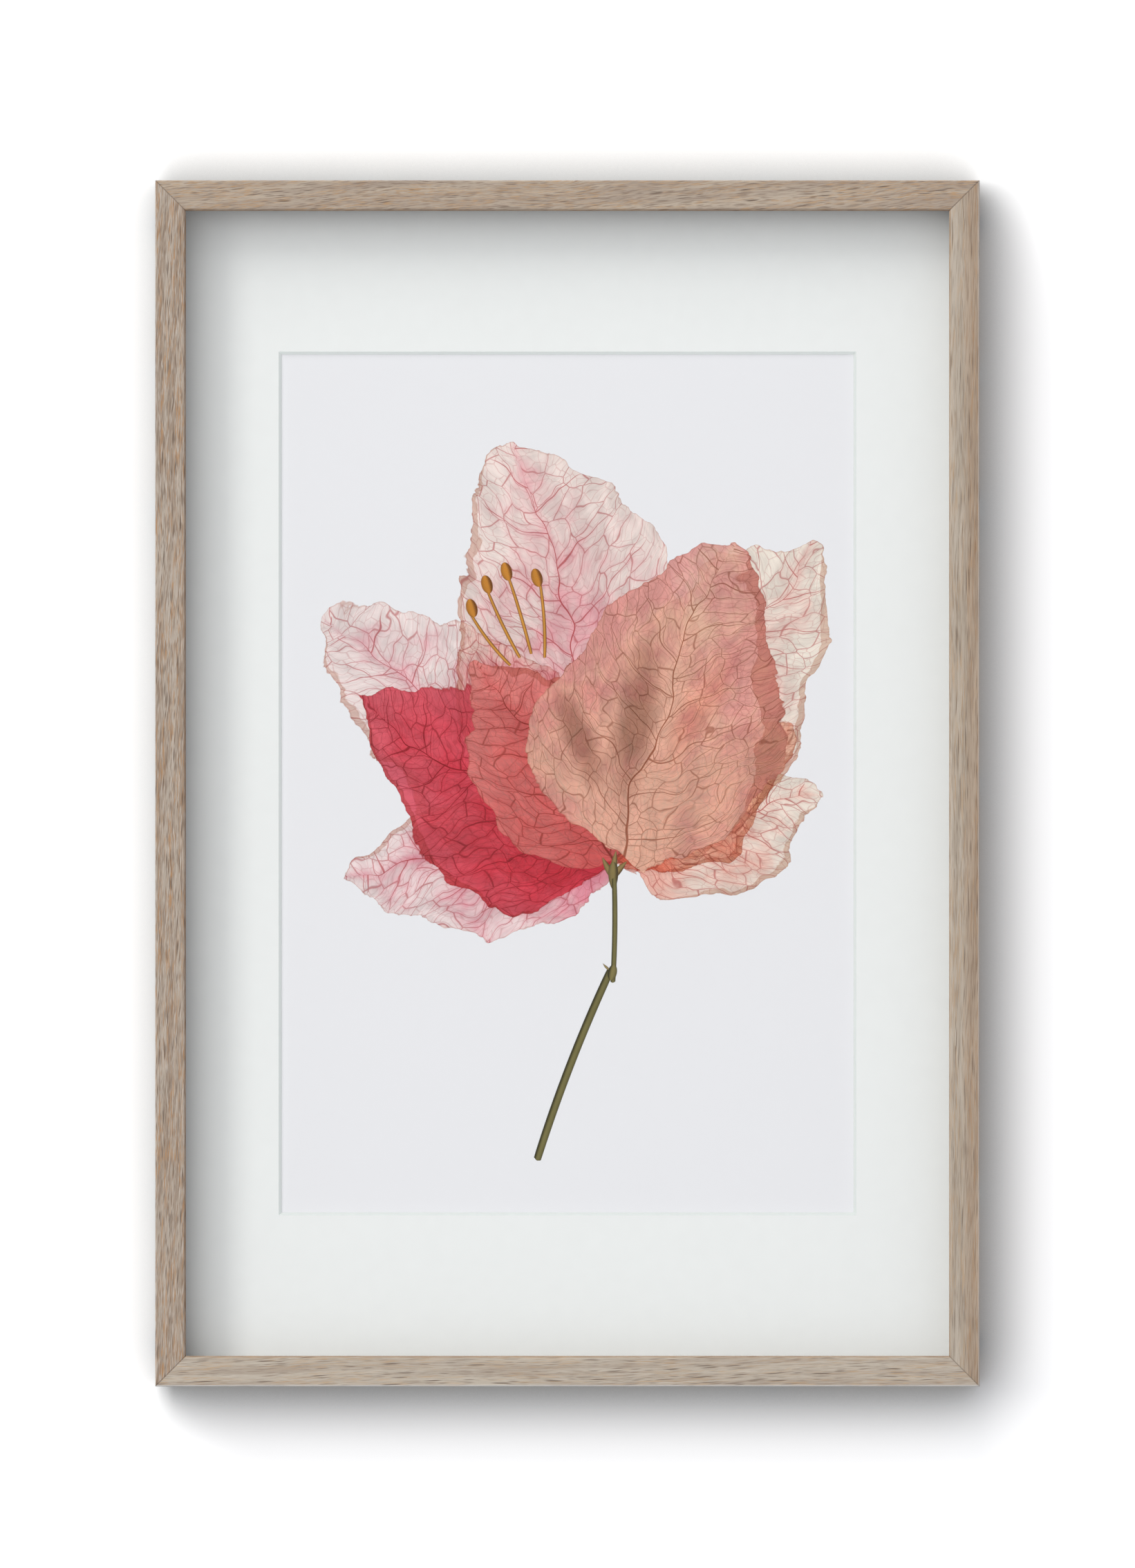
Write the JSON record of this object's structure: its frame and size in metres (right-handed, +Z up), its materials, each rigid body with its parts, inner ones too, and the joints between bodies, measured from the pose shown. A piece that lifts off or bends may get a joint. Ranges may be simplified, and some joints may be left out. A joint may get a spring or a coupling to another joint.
{
  "type": "wall-hung gallery box frame",
  "caption": "Upright oak box frame with mitred corners, deep rebate, glass, bevelled window mat over a print, turn-button back and D-ring hangers on the stiles.",
  "frame": {"origin": "centre of the frame's overall box, so the wall plane that the bumpers rest on is at Y = 18.5 mm and the front face at Y = -18.5 mm", "axes": "+X across the frame to the viewer's right, +Y from the room into the wall, +Z up the frame"},
  "size_m": [0.432, 0.037, 0.632],
  "materials": {
    "oak": "matte",
    "oak_fillet": "matte",
    "glass": "gloss",
    "mat_board": "matte",
    "print_paper": "matte",
    "linen_tape": "matte",
    "undermount": "matte",
    "filler": "matte",
    "fibreboard": "matte",
    "plated_steel": "satin",
    "nail_steel": "satin",
    "bumper_rubber": "matte"
  },
  "bodies": {
    "frame": {"rail_top": "oak", "rail_bottom": "oak", "stile_left": "oak", "stile_right": "oak", "corner_v_nails": "nail_steel", "glazing": "glass", "spacer_top": "oak_fillet", "spacer_bottom": "oak_fillet", "spacer_left": "oak_fillet", "spacer_right": "oak_fillet", "window_mat": "mat_board", "print_sheet": "print_paper", "print_hinge_left": "linen_tape", "print_hinge_right": "linen_tape", "mat_hinge_tape": "linen_tape", "undermount_board": "undermount", "filler_board": "filler", "back_panel": "fibreboard", "turn_button_screws": "plated_steel", "d_ring_strap_left": "plated_steel", "d_ring_strap_right": "plated_steel", "d_ring_strap_screws": "plated_steel", "wall_bumper_top_left": "bumper_rubber", "wall_bumper_top_right": "bumper_rubber", "wall_bumper_bottom_left": "bumper_rubber", "wall_bumper_bottom_right": "bumper_rubber"},
    "turn_button_top_left": {"turn_button_top_left": "plated_steel"},
    "turn_button_top_right": {"turn_button_top_right": "plated_steel"},
    "turn_button_bottom_left": {"turn_button_bottom_left": "plated_steel"},
    "turn_button_bottom_right": {"turn_button_bottom_right": "plated_steel"},
    "turn_button_left_upper": {"turn_button_left_upper": "plated_steel"},
    "turn_button_left_middle": {"turn_button_left_middle": "plated_steel"},
    "turn_button_left_lower": {"turn_button_left_lower": "plated_steel"},
    "turn_button_right_upper": {"turn_button_right_upper": "plated_steel"},
    "turn_button_right_middle": {"turn_button_right_middle": "plated_steel"},
    "turn_button_right_lower": {"turn_button_right_lower": "plated_steel"},
    "d_ring_left": {"d_ring_left": "plated_steel"},
    "d_ring_right": {"d_ring_right": "plated_steel"}
  },
  "joints": [
    {"name": "turn_top_left", "type": "hinge", "parent": "frame", "child": "turn_button_top_left", "pos_m": [-0.105, 0.014, 0.311], "axis": [0, 1, 0], "range_deg": [-90, 90]},
    {"name": "turn_top_right", "type": "hinge", "parent": "frame", "child": "turn_button_top_right", "pos_m": [0.105, 0.014, 0.311], "axis": [0, 1, 0], "range_deg": [-90, 90]},
    {"name": "turn_bottom_left", "type": "hinge", "parent": "frame", "child": "turn_button_bottom_left", "pos_m": [-0.105, 0.014, -0.311], "axis": [0, 1, 0], "range_deg": [-90, 90]},
    {"name": "turn_bottom_right", "type": "hinge", "parent": "frame", "child": "turn_button_bottom_right", "pos_m": [0.105, 0.014, -0.311], "axis": [0, 1, 0], "range_deg": [-90, 90]},
    {"name": "turn_left_upper", "type": "hinge", "parent": "frame", "child": "turn_button_left_upper", "pos_m": [-0.211, 0.014, 0.215], "axis": [0, 1, 0], "range_deg": [-90, 90]},
    {"name": "turn_left_middle", "type": "hinge", "parent": "frame", "child": "turn_button_left_middle", "pos_m": [-0.211, 0.014, 0], "axis": [0, 1, 0], "range_deg": [-90, 90]},
    {"name": "turn_left_lower", "type": "hinge", "parent": "frame", "child": "turn_button_left_lower", "pos_m": [-0.211, 0.014, -0.215], "axis": [0, 1, 0], "range_deg": [-90, 90]},
    {"name": "turn_right_upper", "type": "hinge", "parent": "frame", "child": "turn_button_right_upper", "pos_m": [0.211, 0.014, 0.215], "axis": [0, 1, 0], "range_deg": [-90, 90]},
    {"name": "turn_right_middle", "type": "hinge", "parent": "frame", "child": "turn_button_right_middle", "pos_m": [0.211, 0.014, 0], "axis": [0, 1, 0], "range_deg": [-90, 90]},
    {"name": "turn_right_lower", "type": "hinge", "parent": "frame", "child": "turn_button_right_lower", "pos_m": [0.211, 0.014, -0.215], "axis": [0, 1, 0], "range_deg": [-90, 90]},
    {"name": "swing_left", "type": "hinge", "parent": "frame", "child": "d_ring_left", "pos_m": [-0.2102, 0.0156, 0.14], "axis": [-1, 0, 0], "range_deg": [-4, 174]},
    {"name": "swing_right", "type": "hinge", "parent": "frame", "child": "d_ring_right", "pos_m": [0.2102, 0.0156, 0.14], "axis": [-1, 0, 0], "range_deg": [-4, 174]}
  ]
}
